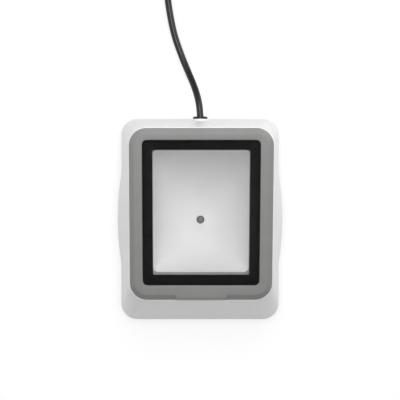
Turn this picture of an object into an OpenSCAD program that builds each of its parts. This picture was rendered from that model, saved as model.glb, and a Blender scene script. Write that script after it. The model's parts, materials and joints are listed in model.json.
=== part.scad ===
// Desktop scanner for QR codes: a drafted housing, a sloping cover with a pane,
// a lit bowl with a camera in its floor, two boards and a thin lead.
// X runs to the right, Y to the back and Z up; the table is Z = 0.

/* [Housing] */
// Width of the base outline, without the side swells
base_w = 102; // [98:1:110]
// Length of the base outline, front to back
base_l = 130; // [126:1:138]
// Corner radius of the base outline
base_r = 10.4; // [8:0.2:13]
// Thickness of the moulded walls
wall = 2.4; // [2:0.1:2.8]
// How far each side swells out at the table
swell = 2.45; // [0.5:0.05:3]
// Length of each swell, an arc from end to end
swell_l = 58.5; // [44:0.5:76]
// Place of the swells behind the middle of the base
swell_y = 0.7; // [-4:0.1:4]
// Outward crown of the walls, as a share of their lean
wall_crown = 0.12; // [0:0.01:0.3]
// Height of the housing's bottom edge over the table
edge_gap = 1; // [0.8:0.1:1.6]
// Radius broken on the bottom edge
edge_break = 0.8; // [0.4:0.1:1.2]
// White rim that shows round the cover
rim_show = 0.5; // [0.3:0.1:1]

/* [Cover] */
// Slope of the cover, higher at the back
tilt = 10; // [7:0.5:13]
// Width of the cover
cover_w = 86; // [84:1:90]
// Length of the cover along its slope
cover_l = 104.6; // [103:0.2:108]
// Corner radius of the cover
cover_r = 10.5; // [9:0.5:12]
// Place of the cover's middle behind the middle of the base
cover_y = 3.4; // [2:0.2:5]
// Height of the cover's underside at its middle
rim_z = 58.75; // [57:0.25:64]
// Rise of the cover over the housing's rim
cover_h = 2.5; // [2.3:0.1:3]
// Width of the bevel at the sides and the back
bevel = 2.8; // [2:0.1:3.2]
// Width of the bevel at the front
front_bevel = 3.6; // [3:0.1:4]
// Width of the plain tongue in the front bevel
tongue_w = 31.6; // [24:0.2:36]
// How far the tongue's front lies behind the cover's front edge
tongue_set = 0.6; // [0.1:0.1:1]
// Length of the tongue's sloping front edge
tongue_bevel = 1.4; // [1:0.1:2]
// Drop of the tongue along that edge
tongue_drop = 0.5; // [0.2:0.1:0.8]
// Narrowing of the tongue towards its front edge
tongue_slant = 1.2; // [0:0.2:2]
// Depth of the cover's spigot inside the housing
spigot_h = 2; // [1.6:0.2:3]
// Length of the duct that leads down to the bowl
duct_h = 6.4; // [5:0.2:8]
// Wall of the duct
duct_wall = 1.6; // [1.2:0.1:2]
// Corner radius of the duct, rounder than the window in the black frame
duct_r = 3.2; // [2:0.2:5]

/* [Window] */
// Width of the pane
glass_w = 70.1; // [68:0.1:72]
// Length of the pane
glass_l = 88; // [86:0.1:90]
// Corner radius of the pane
glass_r = 2.9; // [2:0.1:4]
// Thickness of the pane
glass_t = 1.9; // [1.5:0.1:2]
// Thickness of the black foam frame under the pane
gasket_t = 0.5; // [0.3:0.1:0.8]
// Width of the clear window
window_w = 58; // [54:0.5:60]
// Length of the clear window
window_l = 75.8; // [72:0.2:78]
// Corner radius of the clear window
window_r = 0.8; // [0.6:0.1:1.4]
// Place of the pane behind the middle of the cover, along the slope
glass_v = 1.4; // [0.4:0.1:2]

/* [Bowl] */
// Corner radius of the bowl's mouth
mouth_r = 3.2; // [2:0.2:5]
// How far the bowl's mouth is wider than the window, each side
mouth_over = 0.4; // [0.2:0.1:0.8]
// Wall of the bowl
bowl_wall = 1.8; // [1.4:0.1:2.2]
// Width of the flange round the bowl's mouth
flange_w = 3.5; // [3:0.1:4]
// Height of the bowl's floor
bowl_z = 20; // [19.4:0.2:24]
// Radius of the flat floor round the camera hole
floor_r = 4.2; // [3.6:0.2:6]
// Camera hole
hole_d = 5; // [4:0.1:6]

/* [Boards] */
// Thickness of the bottom plate
plate_t = 2; // [1.8:0.1:2.6]
// Thickness of both boards
pcb_t = 1.6; // [1.2:0.1:2]
// Width of the main board
main_w = 68; // [60:1:72]
// Length of the main board
main_l = 84; // [80:1:88]
// Height of the standoffs under the main board
standoff_h = 4.6; // [4:0.2:6]
// Side of the square LED board
led_side = 46; // [42:1:50]
// Length of the spacers under the LED board
spacer_h = 3.6; // [3.2:0.1:4]
// Radius of the ring of LEDs
led_ring = 15; // [12:0.5:16]
// Number of LEDs
led_count = 8;

/* [Feet and screws] */
// Diameter of a rubber foot
foot_d = 11; // [9:0.5:13]
// Height of a rubber foot
foot_h = 1.9; // [1.8:0.1:2.6]
// Shank of the self-tapping screws
screw_d = 2.2; // [2:0.1:2.6]
// Head of the self-tapping screws
head_d = 4.4; // [4:0.1:5]
// Height of a screw head
head_h = 1.3; // [1.1:0.1:1.6]

/* [Lead] */
// Diameter of the lead
cord_d = 4.3; // [4:0.1:4.8]
// Height of the lead where it leaves the housing
exit_z = 13.5; // [13:0.1:14.5]
// Diameter of the grommet's collar
collar_d = 9.3; // [8.8:0.1:10]
// Thickness of the grommet's collar
collar_t = 1.7; // [1.2:0.1:2.2]
// Boss round the lead on the back wall
boss_d = 12.4; // [11:0.2:14]
// How far the boss's face lies in front of the base's back edge
boss_set = 1.2; // [0.6:0.1:1.8]

/* [Hidden] */
$fn = 48;

white = [0.93, 0.93, 0.92];
grey = [0.56, 0.56, 0.55];
black = [0.09, 0.09, 0.09];
steel = [0.75, 0.76, 0.78];
board_green = [0.05, 0.32, 0.2];
milk = [0.97, 0.97, 0.95];

// Clearance between round or sliding fits
fit = 0.15;
// Clearance round loosely placed parts
gap = 0.3;
// Overlap of cutting tools past a face
eps = 0.5;
// Steps in a rounded corner and along a side of the lofted outlines
corner_n = 6;
side_n = 16;

// Rim of the housing, in the cover's own plane
rim_hw = cover_w / 2 + rim_show;
rim_hl = cover_l / 2 + rim_show;
rim_r = cover_r + rim_show;
// Spigot of the cover inside the rim
spigot_hw = rim_hw - wall - gap;
spigot_hl = rim_hl - wall - gap;
spigot_r = rim_r - wall - gap;
glass_bottom = cover_h - glass_t;
recess_w = glass_bottom - gasket_t;
mouth_hw = window_w / 2 + mouth_over;
mouth_hl = window_l / 2;
flange_hw = mouth_hw + flange_w;
flange_hl = mouth_hl + flange_w;
flange_r = mouth_r + flange_w;
flange_t = bowl_wall;
// Screws of the bowl's flange, on tabs at its long sides
tab_u = flange_hw + 0.6;
tab_v = 22;
tab_r = 3.3;
// Screws of the cover, one near each corner of the spigot
cover_screw_u = spigot_hw - 5.3;
cover_screw_v = spigot_hl - 4.7;
boss_r = 2.8;
cover_boss_h = 6;
ear_r = 4;
ear_t = 2.5;

plate_z = edge_gap + 0.4;
plate_top = plate_z + plate_t;
main_z = plate_top + standoff_h;
main_top = main_z + pcb_t;
led_z = main_top + spacer_h;
led_top = led_z + pcb_t;
// Posts of the housing that take the base screws, and how far in from its outline they stand
post_in_x = 8.5;
post_in_front = 15.5;
post_in_back = 9.5;
post_x = base_w / 2 - post_in_x;
post_front = post_in_front - base_l / 2;
post_back = base_l / 2 - post_in_back;
post_d = 7;
post_h = 12;
rib_t = 1.8;
foot_in_x = 17;
foot_in_back = 12;
foot_x = base_w / 2 - foot_in_x;
foot_front = post_front;
foot_back = base_l / 2 - foot_in_back;
foot_sink = foot_h - plate_z;
main_screw_x = main_w / 2 - 4;
main_screw_y = main_l / 2 - 4;
led_screw = led_side / 2 - 3.5;
spacer_d = 5;
buzzer_d = 12;
// Row of chips in front of the LED board
chip_y = -(led_side / 2 + buzzer_d / 2 + 1.5);
boss_y = base_l / 2 - boss_set;
pad_y = boss_y - 4.2;
neck_d = collar_d - 2.2;
exit_y = boss_y + collar_t;
clamp_y = pad_y - 8;
clamp_x = 6.5;
clamp_l = 6;
clamp_t = 2.4;
bar_w = 2 * clamp_x + 6;
socket_y = main_l / 2 - 9;
socket_w = 12.6;
socket_l = 9;
socket_h = exit_z - main_top + 3;
plug_w = 10;
plug_h = 4.4;
lens_d = 7;
lens_top = bowl_z - bowl_wall - 0.3;
holder_w = 12;
holder_h = lens_top - main_top - 2.6;
sensor_w = 7;
sensor_h = 1;

// Shapes that repeat

// Rounded rectangle about the origin
module plate2d(hw, hl, r) {
    square([2 * hw, 2 * (hl - r)], center = true);
    square([2 * (hw - r), 2 * hl], center = true);
    for (x = [-1, 1], y = [-1, 1])
        translate([x * (hw - r), y * (hl - r)]) circle(r);
}

// Moves its children to the middle of the cover's plane and slopes them
module on_slope() {
    translate([0, cover_y, rim_z]) rotate([tilt, 0, 0]) children();
}

module at_corners(x, y0, y1) {
    for (sx = [-1, 1], y = [y0, y1]) translate([sx * x, y, 0]) children();
}

// Screw with its head below the origin and its shank upwards
module screw(length, shank = screw_d, head = head_d) {
    translate([0, 0, -head_h]) difference() {
        union() {
            cylinder(d = head, h = head_h);
            cylinder(d = shank, h = head_h + length);
        }
        for (a = [0, 90]) rotate(a)
            translate([-0.3, -head * 0.3, -eps]) cube([0.6, head * 0.6, eps + 0.6]);
    }
}

// Outline of a rounded rectangle as points, the same number for any size
function arc_pts(cx, cy, r, a) = [
    for (i = [0:corner_n])
        [cx + r * cos(a + 90 * i / corner_n), cy + r * sin(a + 90 * i / corner_n)]
];
function side_pts(x, y0, y1, n) = [
    for (i = [1:1:n - 1]) [x, y0 + (y1 - y0) * i / n]
];
function end_pts(y, x0, x1, n) = [
    for (i = [1:n - 1]) [x0 + (x1 - x0) * i / n, y]
];
function outline(hw, hl, r, n = side_n) = concat(
    arc_pts(hw - r, hl - r, r, 0),
    arc_pts(r - hw, hl - r, r, 90),
    side_pts(-hw, hl - r, r - hl, n),
    arc_pts(r - hw, r - hl, r, 180),
    arc_pts(hw - r, r - hl, r, 270),
    side_pts(hw, r - hl, hl - r, n)
);

// Faces between stacked rings of n points each; a closed stack joins its last ring to its first
function band(n, a, b) = [
    for (i = [0:n - 1]) each [
        [a * n + i, b * n + (i + 1) % n, a * n + (i + 1) % n],
        [a * n + i, b * n + i, b * n + (i + 1) % n]
    ]
];
function loop_faces(n, rings) = [
    for (k = [0:rings - 1]) each band(n, k, (k + 1) % rings)
];
function middle(ring) = [for (p = ring) 1] * ring / len(ring);
function solid_faces(n, rings) = concat(
    [for (i = [0:n - 1]) [rings * n, i, (i + 1) % n]],
    [for (k = [0:rings - 2]) each band(n, k, k + 1)],
    [for (i = [0:n - 1]) [rings * n + 1, (rings - 1) * n + (i + 1) % n, (rings - 1) * n + i]]
);

// Closed solid through stacked rings, each end closed by a fan about its middle
module stacked(rings) {
    n = len(rings[0]);
    k = len(rings);
    polyhedron(
        concat([for (r = rings) each r], [middle(rings[0]), middle(rings[k - 1])]),
        solid_faces(n, k)
    );
}

// Lofted walls of the housing

function swell_at(y) = swell * max(0, 1 - pow(2 * (y - swell_y) / swell_l, 2));
function base_pts(inset) = [
    for (p = outline(base_w / 2 - inset, base_l / 2 - inset, base_r - inset))
        [p.x + sign(p.x) * swell_at(p.y), p.y]
];
function rim_pts(inset) = [
    for (p = outline(rim_hw - inset, rim_hl - inset, rim_r - inset))
        [p.x, cover_y + p.y * cos(tilt), rim_z + p.y * sin(tilt)]
];
// Share of the walls' lean that is left at the share t of their height
function lean(t) = (1 - t) * (1 + wall_crown * t);
function wall_ring(inset, t) =
    let (b = base_pts(inset), m = rim_pts(inset))
    [for (i = [0:len(b) - 1]) [
        m[i].x + (b[i].x - m[i].x) * lean(t),
        m[i].y + (b[i].y - m[i].y) * lean(t),
        edge_gap + (m[i].z - edge_gap) * t
    ]];
wall_steps = [0.03, 0.25, 0.5, 0.75];
wall_n = 4 * (corner_n + 1) + 2 * (side_n - 1);
rim_break = 0.3;

// Hollow walls as one loft: up the outside and down the inside
module wall_shell() {
    rings = concat(
        [wall_ring(edge_break, 0)],
        [for (t = wall_steps) wall_ring(0, t)],
        [wall_ring(0, 0.993), wall_ring(rim_break, 1), wall_ring(wall, 1)],
        [for (t = [0.66, 0.33, 0]) wall_ring(wall, t)]
    );
    polyhedron([for (r = rings) each r], loop_faces(wall_n, len(rings)));
}

// Solid whose skin runs down the middle of the walls, to trim what stands inside them
module wall_core() {
    stacked([for (t = [0, 0.33, 0.66, 1]) wall_ring(wall / 2, t)]);
}

module housing() {
    color(white) difference() {
        union() {
            wall_shell();
            intersection() {
                wall_core();
                union() {
                    base_posts();
                    cover_ears();
                }
            }
            lead_boss();
        }
        translate([0, boss_y, exit_z]) rotate([-90, 0, 0]) cylinder(d = boss_d, h = 2 * boss_set);
        translate([0, boss_y + eps, exit_z]) rotate([90, 0, 0])
            cylinder(d = neck_d + 2 * fit, h = boss_y - pad_y + 2 * eps);
        at_corners(post_x, post_front, post_back)
            translate([0, 0, plate_top - eps]) cylinder(d = screw_d, h = post_h);
        on_slope() at_corners(cover_screw_u, -cover_screw_v, cover_screw_v)
            translate([0, 0, -cover_boss_h - ear_t - eps])
                cylinder(d = screw_d + 0.6, h = ear_t + 2 * eps);
    }
}

// Round boss through the back wall, with both faces square to the lead
module lead_boss() {
    translate([0, boss_y, exit_z]) rotate([90, 0, 0]) cylinder(d = boss_d, h = boss_y - pad_y);
}

// Four posts for the base screws, each tied to both walls by ribs
module base_posts() {
    for (sx = [-1, 1], y = [post_front, post_back]) translate([sx * post_x, y, plate_top]) {
        cylinder(d = post_d, h = post_h);
        translate([sx > 0 ? 0 : -base_w / 2, -rib_t / 2, 0])
            cube([base_w / 2, rib_t, post_h]);
        translate([-rib_t / 2, y > 0 ? 0 : -base_l / 2, 0])
            cube([rib_t, base_l / 2, post_h]);
    }
}

// Four ears under the rim that the cover screws pull against
module cover_ears() {
    on_slope() for (sx = [-1, 1], sv = [-1, 1])
        translate([sx * cover_screw_u, sv * cover_screw_v, -cover_boss_h - ear_t]) {
            cylinder(r = ear_r, h = ear_t);
            translate([sx > 0 ? 0 : -base_w / 2, sv > 0 ? -ear_r : -base_l / 2, 0])
                cube([base_w / 2, base_l / 2 + ear_r, ear_t]);
        }
}

// Cover

function cover_ring(side, front, back, w) =
    let (hl = (cover_l - front - back) / 2, v = (front - back) / 2)
    [for (p = outline(cover_w / 2 - side, hl, cover_r - side, 1)) [p.x, p.y + v, w]];

module cover_plate() {
    stacked([cover_ring(0, 0, 0, 0), cover_ring(bevel, front_bevel, bevel, cover_h)]);
}

// Plain tongue that carries the flat top to the front edge
module cover_tongue() {
    front = -cover_l / 2;
    flat = front + front_bevel;
    half = tongue_w / 2;
    intersection() {
        translate([-half, 0, 0]) rotate([90, 0, 90]) linear_extrude(tongue_w)
            polygon([
                [front, 0], [flat + 1, 0], [flat + 1, cover_h],
                [front + tongue_set + tongue_bevel, cover_h], [front + tongue_set, cover_h - tongue_drop]
            ]);
        linear_extrude(cover_h) polygon([
            [-half, flat + 1], [half, flat + 1], [half - tongue_slant, front],
            [tongue_slant - half, front]
        ]);
    }
}

module top_cover() {
    color(grey) on_slope() difference() {
        union() {
            cover_plate();
            cover_tongue();
            translate([0, 0, -spigot_h]) linear_extrude(spigot_h)
                plate2d(spigot_hw, spigot_hl, spigot_r);
            translate([0, glass_v, -duct_h]) linear_extrude(duct_h)
                plate2d(window_w / 2 + duct_wall, window_l / 2 + duct_wall, duct_r + duct_wall);
            at_corners(cover_screw_u, -cover_screw_v, cover_screw_v)
                translate([0, 0, -cover_boss_h]) cylinder(r = boss_r, h = cover_boss_h);
            at_corners(tab_u, glass_v - tab_v, glass_v + tab_v)
                translate([0, 0, -duct_h]) cylinder(r = boss_r, h = duct_h);
        }
        translate([0, glass_v, recess_w]) linear_extrude(cover_h + eps)
            plate2d(glass_w / 2 + fit, glass_l / 2 + fit, glass_r + fit);
        translate([0, glass_v, -duct_h - eps]) linear_extrude(duct_h + cover_h + eps)
            plate2d(window_w / 2, window_l / 2, duct_r);
        at_corners(cover_screw_u, -cover_screw_v, cover_screw_v)
            translate([0, 0, -cover_boss_h - eps]) cylinder(d = screw_d, h = cover_boss_h);
        at_corners(tab_u, glass_v - tab_v, glass_v + tab_v)
            translate([0, 0, -duct_h - eps]) cylinder(d = screw_d, h = duct_h - 0.3);
    }
}

module window_glass() {
    color([0.8, 0.88, 0.9, 0.35]) on_slope() translate([0, glass_v, glass_bottom])
        linear_extrude(glass_t) plate2d(glass_w / 2, glass_l / 2, glass_r);
}

module window_gasket() {
    color(black) on_slope() translate([0, glass_v, recess_w]) linear_extrude(gasket_t)
        difference() {
            plate2d(glass_w / 2, glass_l / 2, glass_r);
            plate2d(window_w / 2, window_l / 2, window_r);
        }
}

// Bowl

// The bowl's outlines have points along all four sides
function bowl_outline(hw, hl, r) = concat(
    arc_pts(hw - r, hl - r, r, 0),
    end_pts(hl, hw - r, r - hw, 6),
    arc_pts(r - hw, hl - r, r, 90),
    [for (i = [1:7]) [-hw, (hl - r) * (1 - i / 4)]],
    arc_pts(r - hw, r - hl, r, 180),
    end_pts(-hl, r - hw, hw - r, 6),
    arc_pts(hw - r, r - hl, r, 270),
    [for (i = [1:7]) [hw, (hl - r) * (i / 4 - 1)]]
);
bowl_n = 4 * (corner_n + 1) + 2 * 5 + 2 * 7;
// Point of the cover's plane, shifted by w along its normal, in the part's frame
function slope_pt(p, w) = [
    p.x,
    cover_y + (p.y + glass_v) * cos(tilt) - w * sin(tilt),
    rim_z + (p.y + glass_v) * sin(tilt) + w * cos(tilt)
];
// Reach of a rounded square of the power n, from 2 for a circle upwards
function reach(ang, n) = pow(pow(abs(cos(ang)), n) + pow(abs(sin(ang)), n), -1 / n);
// Ring of the bowl at the angle a: 0 at the mouth, 90 at the floor; out moves it outwards
function bowl_ring(a, out) =
    let (
        c = pow(cos(a), 0.9),
        drop = pow(sin(a), 1.05),
        box = pow(c, 10),
        n = 2 + 4 * pow(c, 3),
        mouth = bowl_outline(mouth_hw + out, mouth_hl + out, mouth_r + out)
    )
    [for (p = mouth)
        let (
            ang = atan2(p.y / mouth_hl, p.x / mouth_hw),
            oval = reach(ang, n) * [(mouth_hw + out) * cos(ang), (mouth_hl + out) * sin(ang)],
            q = p * box + oval * (1 - box),
            m = slope_pt(q, -duct_h),
            f = [(floor_r + out) * cos(ang), (floor_r + out) * sin(ang)]
        )
        [
            f.x + (m.x - f.x) * c,
            f.y + (m.y - f.y) * c,
            bowl_z + (m.z - bowl_z) * (1 - drop) - out * drop
        ]
    ];
bowl_angles = [12, 24, 36, 48, 58, 68, 76, 83, 90];

module bowl_shell() {
    level = -duct_h;
    inner = concat([bowl_ring(0, 0)], [for (a = bowl_angles) bowl_ring(a, 0)]);
    outer = [for (k = [len(bowl_angles) - 1:-1:0]) bowl_ring(bowl_angles[k], bowl_wall)];
    under = [for (p = bowl_outline(mouth_hw + bowl_wall, mouth_hl + bowl_wall, mouth_r + bowl_wall))
        slope_pt(p, level - flange_t)];
    edge = bowl_outline(flange_hw, flange_hl, flange_r);
    hole_top = [for (p = bowl_ring(90, 0)) [p.x, p.y, bowl_z] - 0.5 * [p.x, p.y, 0]];
    hole_low = [for (p = hole_top) p - [0, 0, bowl_wall]];
    rings = concat(
        [[for (p = edge) slope_pt(p, level)]], inner, [hole_top, hole_low], outer,
        [under], [[for (p = edge) slope_pt(p, level - flange_t)]]
    );
    polyhedron([for (r = rings) each r], loop_faces(bowl_n, len(rings)));
}

module diffuser() {
    color(milk) difference() {
        union() {
            bowl_shell();
            on_slope() for (sx = [-1, 1], v = [-tab_v, tab_v])
                translate([sx * tab_u, glass_v + v, -duct_h - flange_t])
                    cylinder(r = tab_r, h = flange_t);
        }
        on_slope() at_corners(tab_u, glass_v - tab_v, glass_v + tab_v)
            translate([0, 0, -duct_h - flange_t - eps])
                cylinder(d = screw_d + 0.4, h = flange_t + 2 * eps);
        translate([0, 0, bowl_z - bowl_wall - eps]) cylinder(d = hole_d, h = bowl_wall + 2 * eps);
    }
}

module cover_screws() {
    color(steel) on_slope() at_corners(cover_screw_u, -cover_screw_v, cover_screw_v)
        translate([0, 0, -cover_boss_h - ear_t]) screw(ear_t + cover_boss_h - 1.5);
}

module diffuser_screws() {
    color(steel) on_slope() at_corners(tab_u, glass_v - tab_v, glass_v + tab_v)
        translate([0, 0, -duct_h - flange_t]) screw(flange_t + duct_h - 1.5);
}

// Bottom plate and feet

plate_share = (plate_top - edge_gap) / (rim_z - edge_gap);

module bottom_plate() {
    color(black) difference() {
        union() {
            translate([0, 0, plate_z]) linear_extrude(plate_t)
                polygon([for (p = wall_ring(wall + gap, 1.25 * plate_share)) [p.x, p.y]]);
            at_corners(main_screw_x, -main_screw_y, main_screw_y)
                translate([0, 0, plate_top]) cylinder(d = 6, h = standoff_h);
            translate([-bar_w / 2, clamp_y, plate_top])
                cube([bar_w, clamp_l, exit_z - plate_top]);
        }
        translate([0, clamp_y - eps, exit_z]) rotate([-90, 0, 0])
            cylinder(d = cord_d + 2 * fit, h = clamp_l + 2 * eps);
        for (sx = [-1, 1]) translate([sx * clamp_x, clamp_y + clamp_l / 2, exit_z - 6])
            cylinder(d = screw_d, h = 6 + eps);
        at_corners(main_screw_x, -main_screw_y, main_screw_y)
            translate([0, 0, plate_top - 0.6]) cylinder(d = screw_d, h = standoff_h + eps + 0.6);
        at_corners(post_x, post_front, post_back) translate([0, 0, plate_z - eps]) {
            cylinder(d = screw_d + 0.4, h = plate_t + 2 * eps);
            cylinder(d = head_d + 2 * gap, h = eps + plate_t / 2);
        }
        at_corners(foot_x, foot_front, foot_back) translate([0, 0, plate_z - eps])
            cylinder(d = foot_d + 2 * fit, h = eps + foot_sink);
    }
}

module base_screws() {
    color(steel) at_corners(post_x, post_front, post_back)
        translate([0, 0, plate_z + plate_t / 2]) screw(plate_t / 2 + post_h - 3);
}

// Rubber foot with a dished face, standing on the table
module foot(x, y) {
    color(black) translate([x, y, 0]) rotate_extrude() polygon([
        [0, 0.3], [foot_d * 0.3, 0.3], [foot_d * 0.34, 0], [foot_d / 2 - 0.5, 0],
        [foot_d / 2, 0.5], [foot_d / 2, foot_h], [0, foot_h]
    ]);
}
module foot_front_left() { foot(-foot_x, foot_front); }
module foot_front_right() { foot(foot_x, foot_front); }
module foot_back_left() { foot(-foot_x, foot_back); }
module foot_back_right() { foot(foot_x, foot_back); }

// Main board and what it carries

module main_board() {
    color(board_green) difference() {
        translate([0, 0, main_z]) linear_extrude(pcb_t) plate2d(main_w / 2, main_l / 2, 2);
        at_corners(main_screw_x, -main_screw_y, main_screw_y)
            translate([0, 0, main_z - eps]) cylinder(d = screw_d + 0.4, h = pcb_t + 2 * eps);
    }
}

// Screws through a board, heads up
module board_screws() {
    color(steel) at_corners(main_screw_x, -main_screw_y, main_screw_y)
        translate([0, 0, main_top]) mirror([0, 0, 1]) screw(pcb_t + standoff_h - 0.8);
}

module image_sensor() {
    color(black) translate([-sensor_w / 2, -sensor_w / 2, main_top])
        cube([sensor_w, sensor_w, sensor_h]);
}

module lens_holder() {
    color(black) translate([0, 0, main_top]) difference() {
        union() {
            translate([-holder_w / 2, -holder_w / 2, 0]) cube([holder_w, holder_w, 2.2]);
            cylinder(d = holder_w - 1.6, h = holder_h);
        }
        translate([-sensor_w / 2 - gap, -sensor_w / 2 - gap, -eps])
            cube([sensor_w + 2 * gap, sensor_w + 2 * gap, sensor_h + gap + eps]);
        translate([0, 0, -eps]) cylinder(d = lens_d + 2 * fit, h = holder_h + 2 * eps);
    }
}

// Barrel with a collar that rests on the holder
module lens_barrel() {
    low = main_top + sensor_h + 1;
    color(black) difference() {
        union() {
            translate([0, 0, low]) cylinder(d = lens_d, h = lens_top - low);
            translate([0, 0, main_top + holder_h]) cylinder(d = lens_d + 1.4, h = 1.4);
        }
        translate([0, 0, low - eps]) cylinder(d = 3, h = lens_top - low + 2 * eps);
        translate([0, 0, lens_top - 1.2]) cylinder(d = 5.4, h = 1.2 + eps);
    }
}

module lens_glass() {
    color([0.2, 0.22, 0.3]) translate([0, 0, lens_top - 1.2]) {
        cylinder(d = 5.4 - 2 * fit, h = 0.6);
        translate([0, 0, 0.6]) intersection() {
            cylinder(d = 4.8, h = 1);
            translate([0, 0, 0.5 - 6]) sphere(d = 12);
        }
    }
}

module chip(x, y, w, l, h) {
    color([0.13, 0.13, 0.14]) translate([x - w / 2, y - l / 2, main_top]) cube([w, l, h]);
}
module processor() { chip(2, chip_y, 14, 14, 1.4); }
module memory_chip() { chip(-12, chip_y, 6, 8, 1.6); }
module power_chip() { chip(main_w / 2 - 6, 10, 6, 6.5, 1.8); }

module buzzer() {
    color(black) translate([-(main_w / 2 - 8.5), chip_y, main_top]) difference() {
        cylinder(d = buzzer_d, h = 8);
        translate([0, 0, 5]) cylinder(d = 2.4, h = 3 + eps);
    }
}

// LED board over the main board

module board_spacers() {
    color(steel) at_corners(led_screw, -led_screw, led_screw)
        translate([0, 0, main_top]) difference() {
            cylinder(d = spacer_d, h = spacer_h, $fn = 6);
            translate([0, 0, -eps]) cylinder(d = screw_d - 0.2, h = spacer_h + 2 * eps);
        }
}

module board_header() {
    color(black) translate([-5, led_side / 2 - 5, main_top]) difference() {
        cube([10, 3, spacer_h]);
        for (i = [0:3]) translate([1.6 + 2.2 * i, 1, spacer_h - 1]) cube([0.8, 1, 1 + eps]);
    }
}

module led_board() {
    color(milk) difference() {
        translate([0, 0, led_z]) linear_extrude(pcb_t) plate2d(led_side / 2, led_side / 2, 3);
        translate([0, 0, led_z - eps])
            cylinder(d = holder_w - 1.6 + 2 * gap + 1, h = pcb_t + 2 * eps);
        at_corners(led_screw, -led_screw, led_screw)
            translate([0, 0, led_z - eps]) cylinder(d = screw_d + 0.4, h = pcb_t + 2 * eps);
    }
}

module led_board_screws() {
    color(steel) at_corners(led_screw, -led_screw, led_screw)
        translate([0, 0, led_top]) mirror([0, 0, 1]) screw(pcb_t + spacer_h - 0.6, screw_d - 0.4);
}

// Surface-mount LED with a small lens on a white body
module led(i) {
    color([1, 0.98, 0.85]) rotate(360 * (i - 0.5) / led_count) translate([led_ring, 0, led_top]) {
        translate([-1.6, -1.4, 0]) cube([3.2, 2.8, 0.8]);
        translate([0, 0, 0.8]) cylinder(d1 = 2.2, d2 = 1.6, h = 0.4);
    }
}
module led_1() { led(1); }
module led_2() { led(2); }
module led_3() { led(3); }
module led_4() { led(4); }
module led_5() { led(5); }
module led_6() { led(6); }
module led_7() { led(7); }
module led_8() { led(8); }

// Lead inside the housing

module lead_socket() {
    color(milk) difference() {
        translate([-socket_w / 2, socket_y, main_top]) cube([socket_w, socket_l, socket_h]);
        translate([-plug_w / 2 - fit, socket_y + 2, exit_z - plug_h / 2 - fit])
            cube([plug_w + 2 * fit, socket_l, plug_h + 2 * fit]);
    }
}

module lead_plug() {
    color(milk) translate([-plug_w / 2, socket_y + 2, exit_z - plug_h / 2])
        cube([plug_w, socket_l, plug_h]);
}

module inner_lead() {
    start = socket_y + 2 + socket_l;
    color(black) translate([0, start, exit_z]) rotate([-90, 0, 0])
        cylinder(d = cord_d, h = exit_y - start);
}

module cable_clamp() {
    color(black) difference() {
        translate([-bar_w / 2, clamp_y, exit_z]) cube([bar_w, clamp_l, cord_d / 2 + clamp_t]);
        translate([0, clamp_y - eps, exit_z]) rotate([-90, 0, 0])
            cylinder(d = cord_d + 2 * fit, h = clamp_l + 2 * eps);
        for (sx = [-1, 1]) translate([sx * clamp_x, clamp_y + clamp_l / 2, exit_z - eps]) {
            cylinder(d = screw_d + 0.4, h = 10);
        }
    }
}

module clamp_screws() {
    color(steel) for (sx = [-1, 1])
        translate([sx * clamp_x, clamp_y + clamp_l / 2, exit_z + cord_d / 2 + clamp_t])
            mirror([0, 0, 1]) screw(cord_d / 2 + clamp_t + 5);
}

// Grommet: collar outside, neck through the boss, collar inside
module cable_grommet() {
    color(black) translate([0, exit_y, exit_z]) rotate([90, 0, 0]) rotate_extrude() polygon([
        [cord_d / 2 + fit, 0], [collar_d / 2 - 0.6, 0], [collar_d / 2, 0.6],
        [collar_d / 2, collar_t], [neck_d / 2, collar_t],
        [neck_d / 2, exit_y - pad_y], [collar_d / 2, exit_y - pad_y],
        [collar_d / 2 - 0.5, exit_y - pad_y + 1.6], [cord_d / 2 + fit, exit_y - pad_y + 1.6]
    ]);
}

// Lead outside the housing: the table carries it a radius up

cord_r = cord_d / 2;
coil_x = 8;
coil_y = 178;
coil_mid = 22.5;
tie_t = 0.8;
// Places of the two ties, in degrees round the coil
tie_back = 110;
tie_front = 290;
layer_rise = cord_d * 0.866;
coil_h = cord_d + 3 * layer_rise;
coil_half = 2 * cord_d;
cord_points = [
    [0, 65.5, 13.5], [-0.2, 69, 13.4], [-0.6, 72.5, 12.9], [-1.2, 76, 12.1],
    [-2, 79.5, 10.9], [-3, 83, 9.4], [-4.4, 87, 7.5], [-6, 91, 5.7],
    [-7.8, 95.5, 4.1], [-9.8, 100.5, 3], [-12, 106, 2.3], [-14.4, 112.5, 2.15],
    [-16.6, 119.5, 2.15], [-18.4, 127, 2.15], [-19.8, 135, 2.15], [-20.9, 143, 2.15],
    [-21.7, 151, 2.2], [-22.4, 159, 2.6], [-23, 166, 2.95]
];
tail_points = [
    [20, 209.3, 5.5], [27.5, 209.7, 5], [35.4, 208.4, 4.6], [42.1, 204.1, 4.3],
    [46.5, 197.7, 4.1], [47.8, 193.8, 4], [48, 190, 4]
];
// Plug: its grip, the steel shell in front of it and the shell's sheet
usb_x = 48;
usb_y = 190;
usb_z = 4;
grip_w = 15.6;
grip_l = 24;
grip_r = 2.4;
shell_w = 12;
shell_h = 4.5;
shell_l = 18;
sheet = 0.3;

// Tube of n sides swept along points, each ring square to the route there
function unit(v) = v / norm(v);
function heading(p, i) = unit(p[min(i + 1, len(p) - 1)] - p[max(i - 1, 0)]);
function tube_ring(p, t, r, n) =
    let (s = unit(cross(t, [0, 0, 1])), u = cross(s, t))
    [for (a = [180 / n:360 / n:360]) p + r * (s * cos(a) + u * sin(a))];

// The square end is 0 for the first point and 1 for the last: there the tube runs along Y
module tube(points, square_end, r = cord_r, n = 8) {
    last = len(points) - 1;
    flat = square_end * last;
    way = [0, sign(points[last].y - points[0].y), 0];
    stacked([for (i = [0:last]) tube_ring(points[i], i == flat ? way : heading(points, i), r, n)]);
}

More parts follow.
